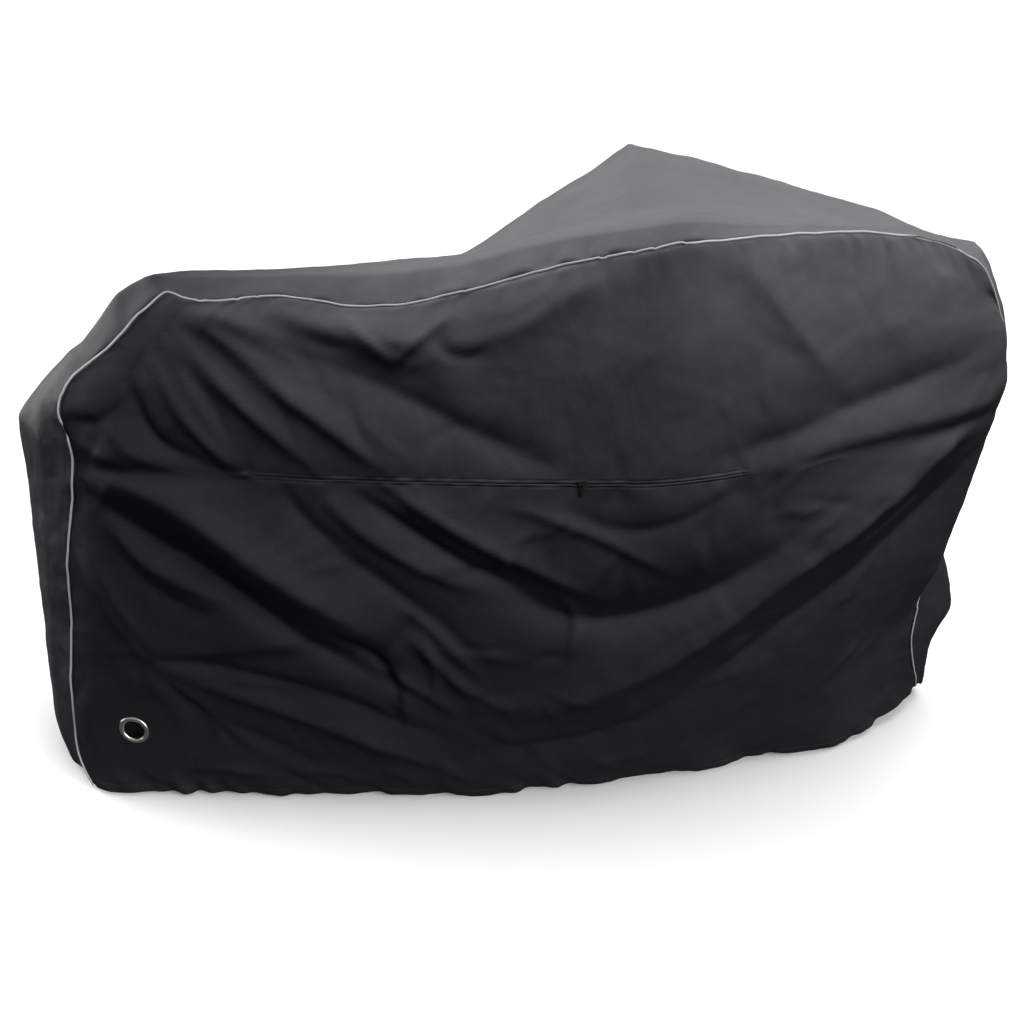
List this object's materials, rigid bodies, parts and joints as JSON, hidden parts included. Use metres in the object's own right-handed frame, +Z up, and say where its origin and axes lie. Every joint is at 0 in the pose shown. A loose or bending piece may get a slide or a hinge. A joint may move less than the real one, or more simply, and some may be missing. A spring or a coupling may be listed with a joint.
{
  "type": "bicycle cover",
  "caption": "Fitted bicycle cover of black coated cloth, draped: side panels piped to a centre strip, a long zip and a metal lock eyelet, open below.",
  "frame": {"origin": "on the floor, under the middle of the cover", "axes": "+X along the bicycle to its front, +Y to its far side, away from the zip, +Z up"},
  "size_m": [1.8405, 0.7224, 1.1195],
  "materials": {
    "cloth": "black coated polyester, dull sheen",
    "piping": "light grey woven piping",
    "tape": "black woven zip tape",
    "coil": "black nylon coil",
    "slider": "black lacquered zinc",
    "eyelet": "bright plated steel"
  },
  "bodies": {
    "root": {"near_panel": "cloth", "far_panel": "cloth", "centre_strip": "cloth", "near_piping": "piping", "far_piping": "piping", "zip_tape": "tape", "zip_coil": "coil", "zip_slider": "slider", "zip_pull": "slider", "lock_eyelet": "eyelet"}
  },
  "joints": []
}
